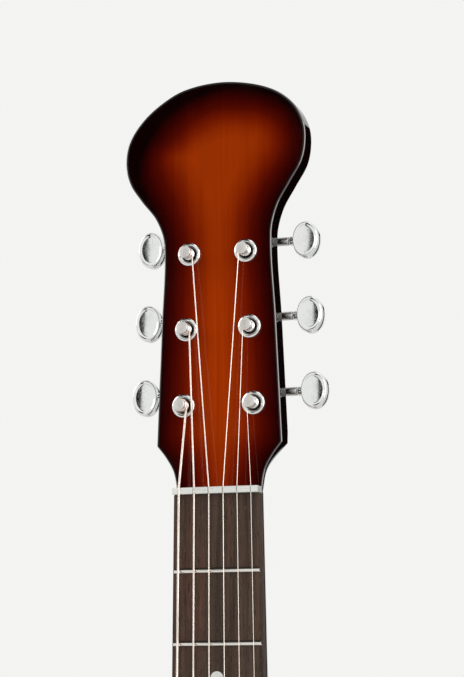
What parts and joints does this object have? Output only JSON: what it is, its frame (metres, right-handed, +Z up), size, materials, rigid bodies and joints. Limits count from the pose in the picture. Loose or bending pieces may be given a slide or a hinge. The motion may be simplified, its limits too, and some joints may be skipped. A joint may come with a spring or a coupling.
{
  "type": "electric sitar",
  "caption": "Small semi-hollow electric sitar with a gourd-shaped headstock, geared tuners, a bolt-on neck, a tube pickup and a broad tilting buzz bridge.",
  "frame": {"origin": "middle of the nut's edge on the fretboard's surface, where the strings' length starts and where a wall hanger holds the neck under the headstock", "axes": "+X to the right as seen from the front, +Y to the instrument's back, +Z up along the neck to the headstock's tip"},
  "size_m": [0.3322, 0.0683, 0.9917],
  "materials": {
    "sunburst_lacquer": "high-gloss sunburst lacquer, orange-brown in the middle to black at the edge",
    "rosewood": "open-grained, oiled, dark grey-brown",
    "plain_wood": "bare, sawn",
    "aluminium": "worn, fine scratches",
    "chrome": "bright plate, light wear",
    "steel": "machined",
    "string_steel": "bright drawn wire, three strings wound",
    "brass": "turned",
    "lacquered_board": "high-gloss sunburst lacquer over hardboard",
    "trim": "pebbled cream tape",
    "white_plastic": "aged white, gloss",
    "black_plastic": "moulded, satin gloss",
    "coil": "taped winding",
    "cable": "matt sleeve"
  },
  "bodies": {
    "instrument": {"neck": "sunburst_lacquer", "reinforcing_bar": "steel", "fretboard": "rosewood", "nut": "aluminium", "string_1": "string_steel", "string_2": "string_steel", "string_3": "string_steel", "string_4": "string_steel", "string_5": "string_steel", "string_6": "string_steel", "tuner_1_bushing": "chrome", "tuner_2_bushing": "chrome", "tuner_3_bushing": "chrome", "tuner_4_bushing": "chrome", "tuner_5_bushing": "chrome", "tuner_6_bushing": "chrome", "tuner_plate_left": "chrome", "tuner_plate_right": "chrome", "centre_block": "plain_wood", "rim": "plain_wood", "top_plate": "lacquered_board", "back_plate": "lacquered_board", "edge_trim": "trim", "pickguard": "white_plastic", "neck_plate": "chrome", "strap_button_end": "chrome", "strap_button_upper": "chrome", "bridge_base": "aluminium", "tailpiece": "chrome", "volume_pot": "steel", "tone_pot": "steel", "output_jack": "chrome", "wiring": "cable"},
    "tuner_1_knob": {"tuner_1_button": "chrome", "tuner_1_worm_shaft": "steel"},
    "tuner_2_knob": {"tuner_2_button": "chrome", "tuner_2_worm_shaft": "steel"},
    "tuner_3_knob": {"tuner_3_button": "chrome", "tuner_3_worm_shaft": "steel"},
    "tuner_4_knob": {"tuner_4_button": "chrome", "tuner_4_worm_shaft": "steel"},
    "tuner_5_knob": {"tuner_5_button": "chrome", "tuner_5_worm_shaft": "steel"},
    "tuner_6_knob": {"tuner_6_button": "chrome", "tuner_6_worm_shaft": "steel"},
    "tuner_1_spindle": {"tuner_1_post": "chrome"},
    "tuner_2_spindle": {"tuner_2_post": "chrome"},
    "tuner_3_spindle": {"tuner_3_post": "chrome"},
    "tuner_4_spindle": {"tuner_4_post": "chrome"},
    "tuner_5_spindle": {"tuner_5_post": "chrome"},
    "tuner_6_spindle": {"tuner_6_post": "chrome"},
    "volume_control": {"volume_knob": "black_plastic", "volume_shaft": "brass"},
    "tone_control": {"tone_knob": "black_plastic", "tone_shaft": "brass"},
    "pickup": {"pickup_tube": "chrome", "pickup_coil": "coil"},
    "buzz_plate": {"bridge_plate": "rosewood"}
  },
  "joints": [
    {"name": "tuner_1_knob_turn", "type": "hinge", "parent": "instrument", "child": "tuner_1_knob", "pos_m": [0.0174, 0.0226, 0.0497], "axis": [1, 0, 0], "continuous": true},
    {"name": "tuner_2_knob_turn", "type": "hinge", "parent": "instrument", "child": "tuner_2_knob", "pos_m": [0.0158, 0.0226, 0.0864], "axis": [1, 0, 0], "continuous": true},
    {"name": "tuner_3_knob_turn", "type": "hinge", "parent": "instrument", "child": "tuner_3_knob", "pos_m": [0.0142, 0.0226, 0.1231], "axis": [1, 0, 0], "continuous": true},
    {"name": "tuner_4_knob_turn", "type": "hinge", "parent": "instrument", "child": "tuner_4_knob", "pos_m": [-0.0142, 0.0226, 0.1231], "axis": [1, 0, 0], "continuous": true},
    {"name": "tuner_5_knob_turn", "type": "hinge", "parent": "instrument", "child": "tuner_5_knob", "pos_m": [-0.0158, 0.0226, 0.0864], "axis": [1, 0, 0], "continuous": true},
    {"name": "tuner_6_knob_turn", "type": "hinge", "parent": "instrument", "child": "tuner_6_knob", "pos_m": [-0.0174, 0.0226, 0.0497], "axis": [1, 0, 0], "continuous": true},
    {"name": "tuner_1_post_turn", "type": "hinge", "parent": "instrument", "child": "tuner_1_spindle", "pos_m": [0.0174, 0.0051, 0.0427], "axis": [0, 1, 0], "continuous": true},
    {"name": "tuner_2_post_turn", "type": "hinge", "parent": "instrument", "child": "tuner_2_spindle", "pos_m": [0.0158, 0.0051, 0.0794], "axis": [0, 1, 0], "continuous": true},
    {"name": "tuner_3_post_turn", "type": "hinge", "parent": "instrument", "child": "tuner_3_spindle", "pos_m": [0.0142, 0.0051, 0.1161], "axis": [0, 1, 0], "continuous": true},
    {"name": "tuner_4_post_turn", "type": "hinge", "parent": "instrument", "child": "tuner_4_spindle", "pos_m": [-0.0142, 0.0051, 0.1161], "axis": [0, 1, 0], "continuous": true},
    {"name": "tuner_5_post_turn", "type": "hinge", "parent": "instrument", "child": "tuner_5_spindle", "pos_m": [-0.0158, 0.0051, 0.0794], "axis": [0, 1, 0], "continuous": true},
    {"name": "tuner_6_post_turn", "type": "hinge", "parent": "instrument", "child": "tuner_6_spindle", "pos_m": [-0.0174, 0.0051, 0.0427], "axis": [0, 1, 0], "continuous": true},
    {"name": "volume_turn", "type": "hinge", "parent": "instrument", "child": "volume_control", "pos_m": [0.088, 0, -0.604], "axis": [0, -1, 0], "range_deg": [-150, 150]},
    {"name": "tone_turn", "type": "hinge", "parent": "instrument", "child": "tone_control", "pos_m": [0.106, 0, -0.652], "axis": [0, -1, 0], "range_deg": [-150, 150]},
    {"name": "pickup_height", "type": "slide", "parent": "instrument", "child": "pickup", "axis": [0, -1, 0], "range_m": [-0.002, 0.003]},
    {"name": "bridge_tilt", "type": "hinge", "parent": "instrument", "child": "buzz_plate", "pos_m": [0, 0.0025, -0.664], "axis": [1, 0, 0], "range_deg": [-2, 0]}
  ],
  "couplings": [
    {"joint": "tuner_1_post_turn", "follows": "tuner_1_knob_turn", "ratio": -0.071429},
    {"joint": "tuner_2_post_turn", "follows": "tuner_2_knob_turn", "ratio": -0.071429},
    {"joint": "tuner_3_post_turn", "follows": "tuner_3_knob_turn", "ratio": -0.071429},
    {"joint": "tuner_4_post_turn", "follows": "tuner_4_knob_turn", "ratio": -0.071429},
    {"joint": "tuner_5_post_turn", "follows": "tuner_5_knob_turn", "ratio": -0.071429},
    {"joint": "tuner_6_post_turn", "follows": "tuner_6_knob_turn", "ratio": -0.071429}
  ]
}
